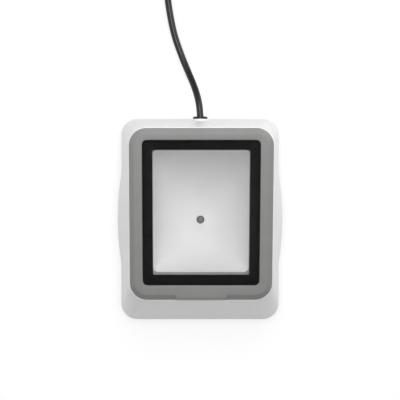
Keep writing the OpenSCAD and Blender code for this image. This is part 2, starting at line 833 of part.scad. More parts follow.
module cord() { color(black) tube(cord_points, 0); }
module cord_tail() { color(black) tube(tail_points, 1); }

// Outer shape of the coil: four turns wide at the table, stacked to one on top
module cord_coil() {
    color(black) translate([coil_x, coil_y, tie_t]) rotate_extrude($fn = 96) polygon([
        [coil_mid - coil_half, 0.4], [coil_mid - coil_half + 1, 0],
        [coil_mid + coil_half - 1, 0], [coil_mid + coil_half, 0.4],
        [coil_mid + coil_half, cord_d * 0.75], [coil_mid + cord_r, coil_h],
        [coil_mid - cord_r, coil_h], [coil_mid - coil_half, cord_d * 0.75]
    ]);
}

// Strap round the coil, at the angle a round it
module cord_tie(a) {
    in = coil_half + gap + 0.3;
    color(black) translate([coil_x, coil_y, 0]) rotate(a) translate([coil_mid, 4, 0])
        rotate([90, 0, 0]) linear_extrude(8) difference() {
            polygon([
                [-in - tie_t, 0], [in + tie_t, 0], [in + tie_t, cord_d],
                [cord_r + 1.6, coil_h + 2 * tie_t + gap], [-cord_r - 1.6, coil_h + 2 * tie_t + gap],
                [-in - tie_t, cord_d]
            ]);
            polygon([
                [-in, tie_t], [in, tie_t], [in, cord_d],
                [cord_r + 1, coil_h + tie_t + gap], [-cord_r - 1, coil_h + tie_t + gap],
                [-in, cord_d]
            ]);
        }
}
module cord_tie_1() { cord_tie(tie_back); }
module cord_tie_2() { cord_tie(tie_front); }

module usb_body() {
    color(black) translate([usb_x, usb_y, 0]) rotate([90, 0, 0]) linear_extrude(grip_l)
        translate([0, usb_z]) plate2d(grip_w / 2, usb_z, grip_r);
}

module usb_shell() {
    color(steel) translate([usb_x, usb_y - grip_l, usb_z]) rotate([90, 0, 0])
        linear_extrude(shell_l) difference() {
            square([shell_w, shell_h], center = true);
            square([shell_w - 2 * sheet, shell_h - 2 * sheet], center = true);
        }
}

// White contact carrier in the lower part of the shell
module usb_tongue() {
    inside = shell_w - 2 * sheet;
    length = shell_l - 1;
    color(milk) translate([usb_x - inside / 2, usb_y - grip_l - length, usb_z - shell_h / 2 + sheet])
        cube([inside, length, 1.8]);
}

housing();
top_cover();
window_glass();
window_gasket();
diffuser();
cover_screws();
diffuser_screws();
bottom_plate();
base_screws();
foot_front_left();
foot_front_right();
foot_back_left();
foot_back_right();
main_board();
board_screws();
image_sensor();
lens_holder();
lens_barrel();
lens_glass();
processor();
memory_chip();
power_chip();
buzzer();
board_header();
board_spacers();
led_board();
led_board_screws();
led_1();
led_2();
led_3();
led_4();
led_5();
led_6();
led_7();
led_8();
lead_socket();
lead_plug();
inner_lead();
cable_clamp();
clamp_screws();
cable_grommet();
cord();
cord_coil();
cord_tail();
cord_tie_1();
cord_tie_2();
usb_body();
usb_shell();
usb_tongue();
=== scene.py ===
"""Looks of the desktop scanner for QR codes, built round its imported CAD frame.

Shapes are worked out in millimetres and turned into the frame's metres by MM.
X runs to the right, Y to the back and Z up; the table is Z = 0.
"""

import json
import math

import bmesh
import bpy
from mathutils import Matrix, Vector


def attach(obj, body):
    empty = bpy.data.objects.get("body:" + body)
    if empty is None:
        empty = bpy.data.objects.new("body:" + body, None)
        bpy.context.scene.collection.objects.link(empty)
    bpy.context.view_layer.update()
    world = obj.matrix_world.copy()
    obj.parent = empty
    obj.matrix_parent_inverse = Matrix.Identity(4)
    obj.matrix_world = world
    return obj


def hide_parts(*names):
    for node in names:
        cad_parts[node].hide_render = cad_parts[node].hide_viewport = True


MM = 0.001
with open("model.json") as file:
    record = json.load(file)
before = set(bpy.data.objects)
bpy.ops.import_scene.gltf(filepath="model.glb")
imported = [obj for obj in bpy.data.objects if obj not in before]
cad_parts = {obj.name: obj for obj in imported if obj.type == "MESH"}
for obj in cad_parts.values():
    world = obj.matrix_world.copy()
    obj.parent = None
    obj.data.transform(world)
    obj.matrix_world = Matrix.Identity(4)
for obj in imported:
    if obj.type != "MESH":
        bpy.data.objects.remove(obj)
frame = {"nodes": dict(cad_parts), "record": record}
bpy.context.view_layer.update()

# Camera

IMAGE_PX = 400
PIXEL_MM = 0.65  # what one pixel covers on the table
SENSOR_MM = 36.0
CAMERA_AT = Vector((-8.6, 12.4, 735.0))


def make_camera():
    """Camera straight above the table, shifted so that X = 0 is mid-picture."""
    data = bpy.data.cameras.new("camera")
    data.sensor_width = SENSOR_MM
    data.lens = SENSOR_MM * CAMERA_AT.z / (IMAGE_PX * PIXEL_MM)
    data.shift_x = -CAMERA_AT.x / (IMAGE_PX * PIXEL_MM)
    camera = bpy.data.objects.new("camera", data)
    camera.location = CAMERA_AT * MM
    bpy.context.scene.collection.objects.link(camera)
    bpy.context.scene.camera = camera


make_camera()

# Sizes

# Cover, in its own sloping plane: u to the right, v to the back, w up
TILT = math.radians(10)
COVER_AT = (3.4, 58.75)  # Y and Z of the plane's middle
COVER_W, COVER_L, COVER_R, COVER_H = 86.0, 104.6, 10.5, 2.5
BEVEL, FRONT_BEVEL = 2.8, 3.6
TONGUE_HALF, TONGUE_SLANT = 15.8, 1.2  # half width, and how much less it is at the front
TONGUE_SET, TONGUE_BEVEL, TONGUE_DROP = 0.6, 1.4, 0.5  # lean of its face, its bevel's run and drop
SPIGOT_H, DUCT_H, DUCT_WALL = 2.0, 6.4, 1.6
FIT = 0.15  # play between parts that fit together
GLASS_W, GLASS_L, GLASS_R, GLASS_T, GASKET_T = 70.1, 88.0, 2.9, 1.9, 0.5
GLASS_V = 1.4  # the pane lies this far behind the cover's middle
SEAT_CLEAR = 0.05  # keeps the seat from lying in the same plane as the frame's underside
WINDOW_W, WINDOW_L, DUCT_R = 58.0, 75.8, 3.2

# Housing
BASE_W, BASE_L, BASE_R = 102.0, 130.0, 10.4
WALL, RIM_SHOW, CROWN = 2.4, 0.5, 0.12
SWELL, SWELL_L, SWELL_Y = 2.45, 58.5, 0.7  # how far, how long and how far back
EDGE_Z, EDGE_BREAK, RIM_BREAK = 1.0, 0.8, 0.3

# Bowl
MOUTH_OVER, MOUTH_R, BOWL_WALL, BOWL_Z = 0.4, 3.2, 1.8, 20.0
FLANGE, FLOOR_R, HOLE_R = 3.5, 4.2, 2.5

# Lead, and its way out through the housing
CORD_D = 4.3
EXIT = Vector((0, 65.5, 13.5))
COIL_AT, TIE_T = Vector((8, 178, 0)), 0.8
BOSS_D, BOSS_Y, BOSS_BACK = 12.4, 63.8, 59.6  # across, and Y of its face and of its inner end
COLLAR_D, COLLAR_T, NECK_D = 9.3, 1.7, 7.1

# Mesh helpers

SLIVER = 0.002  # points closer than this are one
SHARP = 35  # degrees, over which an edge stays sharp
ARC_SHARE = 0.45  # of a side, that a corner's arc may take


def shade(mesh, sharp):
    """Smooth shading, but for edges over sharp degrees."""
    mesh.polygons.foreach_set("use_smooth", [True] * len(mesh.polygons))
    mesh.set_sharp_from_angle(angle=math.radians(sharp))


def finish_piece(piece, slot, stands_for):
    """Puts a piece on its body, gives it the material of its slot and hides the nodes it stands
    for.
    """
    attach(piece, "root")
    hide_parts(*stands_for)
    piece.data.materials.clear()
    piece.data.materials.append(MATERIALS[slot])
    return piece


def add_mesh(name, points, faces, slot, stands_for, sharp=SHARP):
    """A piece from points in millimetres."""
    mesh = bpy.data.meshes.new(name)
    mesh.from_pydata([Vector(p) * MM for p in points], [], faces)
    work = bmesh.new()
    work.from_mesh(mesh)
    bmesh.ops.remove_doubles(work, verts=work.verts, dist=SLIVER * MM)
    bmesh.ops.recalc_face_normals(work, faces=work.faces)
    work.to_mesh(mesh)
    work.free()
    shade(mesh, sharp)
    piece = bpy.data.objects.new(name, mesh)
    bpy.context.scene.collection.objects.link(piece)
    return finish_piece(piece, slot, stands_for)


def loop_faces(n, rings):
    """Faces between rings of n points each, the last joined to the first."""
    faces = []
    for k in range(rings):
        a, b = k * n, (k + 1) % rings * n
        faces += [(a + i, a + (i + 1) % n, b + (i + 1) % n, b + i) for i in range(n)]
    return faces


def add_rings(name, rings, slot, stands_for, sharp=SHARP):
    """A piece whose skin runs through rings of points and back to the first."""
    faces = loop_faces(len(rings[0]), len(rings))
    return add_mesh(name, [p for ring in rings for p in ring], faces, slot, stands_for, sharp)


def combine(piece, work, operation):
    """Joins the piece with another form, or cuts the form out of it."""
    tool_mesh = bpy.data.meshes.new("tool")
    work.to_mesh(tool_mesh)
    work.free()
    tool = bpy.data.objects.new("tool", tool_mesh)
    bpy.context.scene.collection.objects.link(tool)
    cut = piece.modifiers.new("cut", "BOOLEAN")
    cut.operation, cut.solver, cut.object = operation, "EXACT", tool
    bpy.context.view_layer.update()
    evaluated = piece.evaluated_get(bpy.context.evaluated_depsgraph_get())
    done = bpy.data.meshes.new_from_object(evaluated)
    piece.modifiers.remove(cut)
    piece.data = done
    bpy.data.objects.remove(tool)
    clean = bmesh.new()
    clean.from_mesh(done)
    bmesh.ops.remove_doubles(clean, verts=clean.verts, dist=SLIVER * MM)
    bmesh.ops.dissolve_degenerate(clean, edges=clean.edges, dist=SLIVER * MM)
    clean.to_mesh(done)
    clean.free()
    shade(done, SHARP)


def rounded(hw, hl, r, arc=14, across=12, along=40):
    """Outline of a rounded rectangle, anticlockwise from its right side."""
    points = []
    corners = [
        (hw - r, hl - r, 0), (r - hw, hl - r, 90), (r - hw, r - hl, 180), (hw - r, r - hl, 270)
    ]
    for k, (x, y, start) in enumerate(corners):
        for i in range(arc + 1):
            a = math.radians(start + 90 * i / arc)
            points.append((x + r * math.cos(a), y + r * math.sin(a)))
        n = along if k % 2 else across
        a, b = points[-1], corners[(k + 1) % 4]
        b = (b[0], a[1]) if k % 2 == 0 else (a[0], b[1])
        points += [
            (a[0] + (b[0] - a[0]) * i / n, a[1] + (b[1] - a[1]) * i / n) for i in range(1, n)
        ]
    return points


def softened(path, radius, steps):
    """A profile with its inner corners turned into small arcs, on sides long enough."""
    out = [path[0]]
    for a, b, c in zip(path, path[1:], path[2:]):
        a, b, c = Vector(a), Vector(b), Vector(c)
        reach = min(radius, (a - b).length * ARC_SHARE, (c - b).length * ARC_SHARE)
        p, q = b + (a - b).normalized() * reach, b + (c - b).normalized() * reach
        for i in range(steps + 1):
            t = i / steps
            out.append(tuple(p * (1 - t) ** 2 + 2 * b * t * (1 - t) + q * t * t))
    return out + [path[-1]]


def on_slope(u, v, w):
    """A point of the cover's plane in the part's frame."""
    return (
        u,
        COVER_AT[0] + v * math.cos(TILT) - w * math.sin(TILT),
        COVER_AT[1] + v * math.sin(TILT) + w * math.cos(TILT),
    )


# Materials


def node_tree(owner):
    """The emptied node tree of a material or world, and what adds nodes and links."""
    tree = owner.node_tree
    tree.nodes.clear()
    return tree, tree.nodes.new, tree.links.new


def math_node(new, link, operation, a, b):
    """What a calculation makes of two values, each a socket or a plain number."""
    node = new("ShaderNodeMath")
    node.operation = operation
    for socket, value in zip(node.inputs, (a, b)):
        if isinstance(value, float):
            socket.default_value = value
        else:
            link(value, socket)
    return node.outputs["Value"]


def any_ray(new, link, names):
    """1 on rays of any of the named kinds, 0 on the rest."""
    path = new("ShaderNodeLightPath")
    total = path.outputs[names[0]]
    for name in names[1:]:
        total = math_node(new, link, "MAXIMUM", total, path.outputs[name])
    return total


def noise(new, link, coords, size_mm, detail, rough=0.5):
    """Cloudy noise with patches of about the given size."""
    node = new("ShaderNodeTexNoise")
    node.inputs["Scale"].default_value = 1 / (size_mm * MM)
    node.inputs["Detail"].default_value = detail
    node.inputs["Roughness"].default_value = rough
    link(coords, node.inputs["Vector"])
    return node.outputs["Fac"]


def ranged(new, link, value, low, high, start=0.3, end=0.7):
    """The value, mostly from start to end, spread from low to high."""
    node = new("ShaderNodeMapRange")
    for name, number in (("From Min", start), ("From Max", end), ("To Min", low), ("To Max", high)):
        node.inputs[name].default_value = number
    link(value, node.inputs["Value"])
    return node.outputs["Result"]


GLOSS_SPREAD = 0.05  # how far the roughness wanders to either side
GLOSS_FINER = 3  # patches of gloss are this much smaller than clouds of shade
GRAIN_STRENGTH = 0.5


def surface(name, colour, roughness, grain_mm, grain_depth, mottle, cloud_mm, sockets=None):
    """Moulded, painted or metal skin: a fine grain, cloudy shade and uneven gloss."""
    material = bpy.data.materials.new(name)
    material.use_nodes = True
    tree, new, link = node_tree(material)
    shader, out = new("ShaderNodeBsdfPrincipled"), new("ShaderNodeOutputMaterial")
    link(shader.outputs["BSDF"], out.inputs["Surface"])
    coords = new("ShaderNodeTexCoord").outputs["Object"]
    cloud = noise(new, link, coords, cloud_mm, detail=4)
    mix = new("ShaderNodeMix")
    mix.data_type = "RGBA"
    mix.inputs["A"].default_value = (*[c * (1 - mottle) for c in colour], 1)
    mix.inputs["B"].default_value = (*[min(1, c * (1 + mottle)) for c in colour], 1)
    link(ranged(new, link, cloud, 0, 1), mix.inputs["Factor"])
    link(mix.outputs["Result"], shader.inputs["Base Color"])
    gloss = noise(new, link, coords, cloud_mm / GLOSS_FINER, detail=3)
    glossy, dull = roughness - GLOSS_SPREAD, roughness + GLOSS_SPREAD
    link(ranged(new, link, gloss, glossy, dull), shader.inputs["Roughness"])
    fine = noise(new, link, coords, grain_mm, detail=3, rough=0.6)
    bump = new("ShaderNodeBump")
    bump.inputs["Strength"].default_value = GRAIN_STRENGTH
    bump.inputs["Distance"].default_value = grain_depth * MM
    link(fine, bump.inputs["Height"])
    link(bump.outputs["Normal"], shader.inputs["Normal"])
    for socket, value in (sockets or {}).items():
        shader.inputs[socket].default_value = value
    return material


FINISHES = {  # colour, roughness, grain in mm, its depth in mm, mottle, clouds in mm, more sockets
    "housing_white": ((0.86, 0.86, 0.855), 0.38, 0.35, 0.012, 0.012, 14),
    "cover_grey": ((0.27, 0.27, 0.266), 0.5, 0.3, 0.02, 0.03, 8, {"Specular IOR Level": 0.35}),
    # The pane's low IOR stands for its coating, which hardly reflects
    "window_glass": (
        (0.98, 0.98, 0.98), 0.06, 4, 0.0, 0.01, 30, {"Transmission Weight": 1.0, "IOR": 1.2}
    ),
    "gasket_black": (
        (0.005, 0.005, 0.005), 0.7, 0.25, 0.012, 0.15, 5, {"Specular IOR Level": 0.05}
    ),
    "bowl_white": ((0.85, 0.85, 0.85), 0.55, 0.4, 0.008, 0.012, 16),
    "screw_steel": ((0.6, 0.6, 0.6), 0.35, 0.3, 0.003, 0.06, 3, {"Metallic": 1.0}),
    "plate_black": ((0.03, 0.03, 0.03), 0.55, 0.3, 0.04, 0.12, 8),
    "foot_rubber": ((0.02, 0.02, 0.02), 0.85, 0.4, 0.03, 0.2, 4),
    "board_green": ((0.02, 0.14, 0.07), 0.35, 0.5, 0.01, 0.1, 5),
    "board_white": ((0.8, 0.8, 0.78), 0.4, 0.5, 0.01, 0.02, 5),
    "chip_black": ((0.02, 0.02, 0.022), 0.6, 0.15, 0.02, 0.15, 3),
    "lens_glass": ((0.2, 0.2, 0.21), 0.15, 0.8, 0.002, 0.1, 2, {"Coat Weight": 0.5}),
    "led_white": ((0.8, 0.78, 0.66), 0.3, 0.3, 0.004, 0.04, 2),
    "connector_white": ((0.78, 0.76, 0.7), 0.5, 0.3, 0.01, 0.03, 3),
    "cord_black": (
        (0.013, 0.013, 0.0135), 0.3, 0.5, 0.012, 0.15, 5, {"Specular IOR Level": 0.4}
    ),
    "plug_steel": ((0.72, 0.72, 0.72), 0.25, 0.6, 0.0005, 0.02, 40, {"Metallic": 1.0}),
}
PANE_CLEAR = (0.957, 0.957, 0.957, 1)  # what the pane lets through of the light on the bowl


def mixed(material, new, link, share, other):
    """Mixes another shader into a material by the share."""
    tree, mix = material.node_tree, new("ShaderNodeMixShader")
    link(share, mix.inputs["Fac"])
    link(tree.nodes["Principled BSDF"].outputs["BSDF"], mix.inputs[1])
    link(other, mix.inputs[2])
    link(mix.outputs["Shader"], tree.nodes["Material Output"].inputs["Surface"])


def open_to_light(material):
    """Leaves a pane glass to the eye, but lets light and shade fall straight through it."""
    new, link = material.node_tree.nodes.new, material.node_tree.links.new
    clear = new("ShaderNodeBsdfTransparent")
    clear.inputs["Color"].default_value = PANE_CLEAR
    through = any_ray(new, link, ("Is Shadow Ray", "Is Diffuse Ray"))
    mixed(material, new, link, through, clear.outputs["BSDF"])


MATERIALS = {slot: surface(slot, *finish) for slot, finish in FINISHES.items()}
open_to_light(MATERIALS["window_glass"])


def dress_frame():
    """Gives every CAD node the material of its slot."""
    for row in frame["record"]["subparts"]:
        node = frame["nodes"][row["node"]]
        node.data.materials.clear()
        node.data.materials.append(MATERIALS[row["material_slot"]])


dress_frame()

# Lead


def catmull(points, per_span):
    """A smooth line through the points."""
    ends = [2 * points[0] - points[1], *points, 2 * points[-1] - points[-2]]
    line = []
    for a, b, c, d in zip(ends, ends[1:], ends[2:], ends[3:]):
        for i in range(per_span):
            t = i / per_span
            line.append(
                0.5 * ((2 * b) + (c - a) * t + (2 * a - 5 * b + 4 * c - d) * t * t
                       + (3 * b - a - 3 * c + d) * t ** 3)
            )
    return line + [points[-1]]


PER_SPAN = 8  # points from one point of the route to the next
PER_TURN = 90
PITCH = CORD_D * 1.02
COIL_R = 28.95  # the first turn, round the outside
FULL_LAYERS = (4, 3, 2)
LAST_TURN = 0.16  # the share of it that is wound
SHIFT_SHARE = 0.3  # of a turn, over which it shifts to the next one's radius
LIFT_REACH, SMOOTH_REACH = 4, 6  # points to either side, when the turns' heights are smoothed
AHEAD = 6  # points into the coil, to which the lead is led
SAME = 0.01  # points closer than this are the same on the route


def turn_radii():
    """Radius of each turn: layers wound inwards and outwards by turns."""
    radii, r, step = [], COIL_R, -PITCH
    for count in FULL_LAYERS:
        for _ in range(count):
            radii.append(r)
            r += step
        step = -step
        r = radii[-1] + step / 2
    return radii + [r]


def windowed(values, pick, half):
    """What pick makes of each value and its neighbours on either side."""
    return [pick(values[max(0, i - half): i + half + 1]) for i in range(len(values))]


def mean(values):
    return sum(values) / len(values)


def coil_line():
    """Turns laid one by one, each resting on what lies under it."""
    radii, at = turn_radii(), []
    for i in range(round((len(radii) - 1 + LAST_TURN) * PER_TURN) + 1):
        turn, k = divmod(i, PER_TURN)
        after = radii[min(turn + 1, len(radii) - 1)]
        s = max(0.0, 1 - (1 - k / PER_TURN) / SHIFT_SHARE)
        at.append(radii[turn] + (after - radii[turn]) * s * s * (3 - 2 * s))
    ground = TIE_T + CORD_D / 2
    heights = [ground] * len(at)
    for _ in range(2 * len(FULL_LAYERS)):
        for i, r in enumerate(at):
            need = ground
            for j in range(i - PER_TURN, -1, -PER_TURN):
                off = abs(r - at[j])
                if off < CORD_D:
                    need = max(need, heights[j] + math.sqrt(CORD_D ** 2 - off ** 2))
            heights[i] = need
        heights = windowed(windowed(heights, max, LIFT_REACH), mean, SMOOTH_REACH)
    turns = [2 * math.pi * i / PER_TURN for i in range(len(at))]
    return [
        COIL_AT + Vector((-r * math.cos(a), r * math.sin(a), z))
        for a, r, z in zip(turns, at, heights)
    ]


def cord_line():
    """From the grommet down to the table, round the coil and on to the plug."""
    coil = coil_line()
    lead_in = [
        (0, 65.5, 13.5), (-0.6, 72.5, 12.9), (-2, 79.5, 10.9), (-4.4, 87, 7.5), (-7.8, 95.5, 4.1),
        (-12, 106, 2.3), (-16.6, 119.5, 2.15), (-19.8, 135, 2.15), (-21.7, 151, 2.2),
        (-22.0, 165, 2.7),
    ]
    tail = [
        (5, 202, 13.2), (12.5, 205.8, 11.6), (20.3, 208.6, 9.1), (28, 209.6, 6.7), (35.4, 208.3, 5),
        (42.1, 204.1, 4.3), (46.4, 197.6, 4.05), (48, 190, 4),
    ]
    first = catmull([Vector(p) for p in lead_in] + [coil[0], coil[AHEAD]], PER_SPAN)
    last = catmull([coil[-1 - AHEAD], coil[-1]] + [Vector(p) for p in tail], PER_SPAN)
    cut = next(i for i, p in enumerate(first) if (p - coil[0]).length < SAME)
    join = next(i for i, p in enumerate(last) if (p - coil[-1]).length < SAME)
    return first[:cut] + coil + last[join + 1:]


def make_cord():
    """The lead as a round tube along its line, and that line."""
    line = cord_line()
    data = bpy.data.curves.new("lead_line", "CURVE")
    data.dimensions = "3D"
    data.bevel_depth = CORD_D / 2 * MM
    data.bevel_resolution = 5
    data.use_fill_caps = True
    spline = data.splines.new("POLY")
    spline.points.add(len(line) - 1)
    for point, p in zip(spline.points, line):
        point.co = (*(p * MM), 1)
    guide = bpy.data.objects.new("lead_guide", data)
    tube = bpy.data.meshes.new_from_object(guide)
    shade(tube, sharp=60)
    bpy.data.objects.remove(guide)
    cord = bpy.data.objects.new("lead", tube)
    bpy.context.scene.collection.objects.link(cord)
    return finish_piece(cord, "cord_black", ("cord", "cord_coil", "cord_tail")), line


def hull(points):
    """Convex outline of flat points, anticlockwise."""
    points = sorted(set(points))
    sides = []
    for run in (points, points[::-1]):
        side = []
        for p in run:
            while len(side) > 1 and (
                (side[-1][0] - side[-2][0]) * (p[1] - side[-2][1])
                - (side[-1][1] - side[-2][1]) * (p[0] - side[-2][0])
            ) <= 0:
                side.pop()
            side.append(p)
        sides += side[:-1]
    return sides


def resampled(loop, n):
    """n points spaced evenly round a closed loop."""
    spans = [(Vector(a), Vector(b)) for a, b in zip(loop, loop[1:] + loop[:1])]
    total = sum((b - a).length for a, b in spans)
    out, done, k = [], 0.0, 0
    for i in range(n):
        at = total * i / n
        while done + (spans[k][1] - spans[k][0]).length < at:
            done += (spans[k][1] - spans[k][0]).length
            k += 1
        a, b = spans[k]
        out.append(a + (b - a) * ((at - done) / (b - a).length))
    return out


TIE_W, TIE_BREAK, TIE_DIP = 8.0, 0.3, 0.2  # width, and how its edges are rounded off
TIE_ROUND, TIE_POINTS = 12, 72  # steps in half a circle, and points round the strap
COIL_INNER, COIL_OUTER = 8.0, 36.0  # between which all turns of the coil lie


def make_tie(name, node, degrees, line):
    """Strap pulled tight round the turns that pass under it."""
    a = math.radians(degrees)
    way = Vector((math.cos(a), math.sin(a), 0))
    side = Vector((-math.sin(a), math.cos(a), 0))
    half, rim = TIE_W / 2, TIE_W / 2 - TIE_BREAK
    middles = []
    for p in line:
        q = p - COIL_AT
        if abs(q.dot(side)) < half and q.dot(way) > COIL_INNER and q.to_2d().length < COIL_OUTER:
            middles.append((q.dot(way), p.z))
    loops = []
    for reach in (CORD_D / 2, CORD_D / 2 + TIE_T):
        turns = [t * math.pi / TIE_ROUND for t in range(2 * TIE_ROUND)]
        rounds = [
            (x + reach * math.cos(t), z + reach * math.sin(t)) for x, z in middles for t in turns
        ]
        loops.append(resampled(hull(rounds), TIE_POINTS))
    inner, outer = loops
    rings = []
    for across, loop, inset in (
        (-half, inner, 0), (-half, outer, TIE_DIP), (-rim, outer, 0),
        (rim, outer, 0), (half, outer, TIE_DIP), (half, inner, 0),
    ):
        middle = sum(loop, Vector((0, 0))) / len(loop)
        ring = []
        for p in loop:
            q = p + (middle - p).normalized() * inset
            ring.append(COIL_AT + way * q.x + side * across + Vector((0, 0, q.y)))
        rings.append(ring)
    return add_rings(name, rings, "cord_black", (node,))


lead, lead_path = make_cord()
ties = [
    make_tie("tie_back", "cord_tie_1", 110, lead_path),
    make_tie("tie_front", "cord_tie_2", 290, lead_path),
]

# Plug

USB_AT = Vector((48, 190, 4))
BODY_L, BODY_HW, BODY_HT, BODY_R = 24.0, 7.8, 4.0, 2.4
BODY_LEAST, BODY_R_SHARE, BODY_SOFT = 0.05, 0.8, 1.6  # least half size, corner's share, end's arcs
BODY_PROFILE = [  # distance from the lead's end, and share of the full size there
    (0, 0.0), (0, 0.55), (4.5, 0.8), (8, 1.0), (23, 1.0), (BODY_L, 0.93), (BODY_L, 0.0)
]
GROOVES, GROOVE_W, GROOVE_IN = (11, 13.2, 15.4), 0.5, 0.35
SHELL_W, SHELL_H, SHELL_L, SHELL_R, SHEET = 12.0, 4.5, 18.0, 0.4, 0.3
SHELL_BREAK = 0.07  # rounding of the shell's open end
CATCH, CATCH_X, CATCH_IN = 2.5, 2.75, 6.4  # square windows: side, from the middle, from the end


def make_plug_body():
    """Overmoulded grip: a rounded block that draws in towards the lead, with grooved sides."""
    rings = []
    for back, share in softened(BODY_PROFILE, BODY_SOFT, steps=5)[1:-1]:
        groove = GROOVE_IN * sum(math.exp(-(((back - g) / GROOVE_W) ** 2)) for g in GROOVES)
        hw = max(BODY_LEAST, BODY_HW * share - groove)
        ht = max(BODY_LEAST, BODY_HT * share)
        r = min(BODY_R, ht * BODY_R_SHARE, hw * BODY_R_SHARE)
        outline = rounded(hw, ht, r, arc=8, across=6, along=6)
        rings.append([USB_AT + Vector((x, -back, z)) for x, z in outline])
    n = len(rings[0])
    faces = loop_faces(n, len(rings))[: n * (len(rings) - 1)]
    faces += [tuple(range(n)), tuple(range(n * (len(rings) - 1), n * len(rings)))[::-1]]
    points = [p for ring in rings for p in ring]
    return add_mesh("plug_grip", points, faces, "cord_black", ("usb_body",))


def make_plug_shell():
    """Folded steel shell, open at its end, with two catch windows in each broad face."""
    end = BODY_L + SHELL_L
    rings = []
    for inset, back in (
        (0, BODY_L), (0, end - SHELL_BREAK), (SHELL_BREAK, end), (SHEET - SHELL_BREAK, end),
        (SHEET, end - SHELL_BREAK), (SHEET, BODY_L),
    ):
        hw, ht = SHELL_W / 2 - inset, SHELL_H / 2 - inset
        outline = rounded(hw, ht, SHELL_R - inset, arc=6, across=2, along=2)
        rings.append([USB_AT + Vector((x, -back, z)) for x, z in outline])
    shell = add_rings("plug_shell", rings, "plug_steel", ("usb_shell",))
    for side in (-1, 1):
        work = bmesh.new()
        at = USB_AT + Vector((side * CATCH_X, CATCH_IN - end, 0))
        bmesh.ops.create_cube(
            work, size=CATCH * MM,
            matrix=Matrix.Translation(at * MM) @ Matrix.Diagonal((1, 1, 2 * SHELL_H / CATCH, 1)),
        )
        combine(shell, work, "DIFFERENCE")
    return shell


grip = make_plug_body()
plug_shell = make_plug_shell()

# Housing

EDGE_STEPS, RIM_STEPS = 6, 4  # in the rounding of the lower and of the upper edge
WALL_LEVELS = (0.03, 0.07, 0.12, 0.2, 0.3, 0.4, 0.5, 0.6, 0.7, 0.8, 0.9, 0.97)  # shares of height
INNER_LEVELS = (1, 0.66, 0.33, 0)
BOSS_SIDES = 90
FACE_CUT, BORE_PAST = 4.0, 6.0  # how far the cuts for the boss's face and bore run on


def swell_at(y):
    """How far a side wall stands out at its foot."""
    return SWELL * max(0.0, 1 - (2 * (y - SWELL_Y) / SWELL_L) ** 2)


def wall_ring(inset, t):
    """Ring of the drafted walls at the share t of their height."""
    out = RIM_SHOW - inset
    base = rounded(BASE_W / 2 - inset, BASE_L / 2 - inset, BASE_R - inset)
    top = rounded(COVER_W / 2 + out, COVER_L / 2 + out, COVER_R + out)
    lean = (1 - t) * (1 + CROWN * t)
    ring = []
    for (bx, by), (u, v) in zip(base, top):
        bx += math.copysign(swell_at(by), bx)
        x, y, z = on_slope(u, v, 0)
        ring.append((x + (bx - x) * lean, y + (by - y) * lean, EDGE_Z + (z - EDGE_Z) * t))
    return ring


def make_housing():
    """Drafted shell with rounded edges, and a bored boss for the lead at its back."""
    height = COVER_AT[1] - EDGE_Z
    rings = []
    for k in range(EDGE_STEPS + 1):
        a = math.radians(90 * k / EDGE_STEPS)
        t = EDGE_BREAK * (1 - math.cos(a)) / height
        rings.append(wall_ring(EDGE_BREAK * (1 - math.sin(a)), t))
    rings += [wall_ring(0, t) for t in WALL_LEVELS]
    for k in range(RIM_STEPS + 1):
        a = math.radians(90 * k / RIM_STEPS)
        t = 1 - RIM_BREAK * (1 - math.sin(a)) / height
        rings.append(wall_ring(RIM_BREAK * (1 - math.cos(a)), t))
    rings += [wall_ring(WALL, t) for t in INNER_LEVELS]
    shell = add_rings("housing_shell", rings, "housing_white", ("housing",))
    depth = BOSS_Y - BOSS_BACK
    round_exit(shell, "UNION", BOSS_D / 2, BOSS_Y - depth / 2, depth)
    round_exit(shell, "DIFFERENCE", BOSS_D / 2, BOSS_Y + FACE_CUT / 2, FACE_CUT)
    round_exit(shell, "DIFFERENCE", NECK_D / 2 + FIT, BOSS_Y - depth / 2, depth + BORE_PAST)


def round_exit(shell, operation, radius, middle_y, length):
    """Joins or cuts a cylinder round the lead's way out."""
    work, r = bmesh.new(), radius * MM
    place = Matrix.Translation(Vector((0, middle_y, EXIT.z)) * MM)
    bmesh.ops.create_cone(
        work, cap_ends=True, segments=BOSS_SIDES, radius1=r, radius2=r, depth=length * MM,
        matrix=place @ Matrix.Rotation(math.pi / 2, 4, "X"),
    )
    combine(shell, work, operation)


make_housing()

# Cover

ARC, ALONG = 14, 8
FRONT_AT = 3 * (ARC + 1) + ALONG - 1  # where the front edge's points go into a ring
FRONT_U, FRONT_END, NEAR_TIP = (7.0, 11.0), 25.0, 0.7  # where these points lie
BEVEL_STEPS, BEVEL_SOFT, TONGUE_SOFT = 10, 0.45, 0.3  # steps and reach of their edges' arcs
TOP_FLAT = 1.4  # level strip inside the bevel
SEAT_BREAK, SEAT_MID = 0.15, 0.04  # rounding of the seat's edge, and of its halfway point
LIP_BREAK, LIP_MID = 0.25, 0.07  # the same at the window and at the bowl's hole
SPIGOT_GAP = 0.3  # between the spigot and the housing's wall
BOX_SHARP = 50  # degrees, for the cover and the bowl


def ring_of(hw, hl, r, v0, w, front):
    """Ring at the height w, with its own run of points (u, v, w) along the front edge."""
    ring = [(u, v + v0, w) for u, v in rounded(hw, hl, r, ARC, 1, ALONG)]
    run = [(-u, v, z) for u, v, z in reversed(front)] + [(0, *front[0][1:])] + front
    return [on_slope(*p) for p in ring[:FRONT_AT] + run + ring[FRONT_AT:]]


def plain_front(v, w):
    """Right half of a front run that is one straight line."""
    return [(u, v, w) for u in (*FRONT_U, TONGUE_HALF - NEAR_TIP, TONGUE_HALF, FRONT_END)]


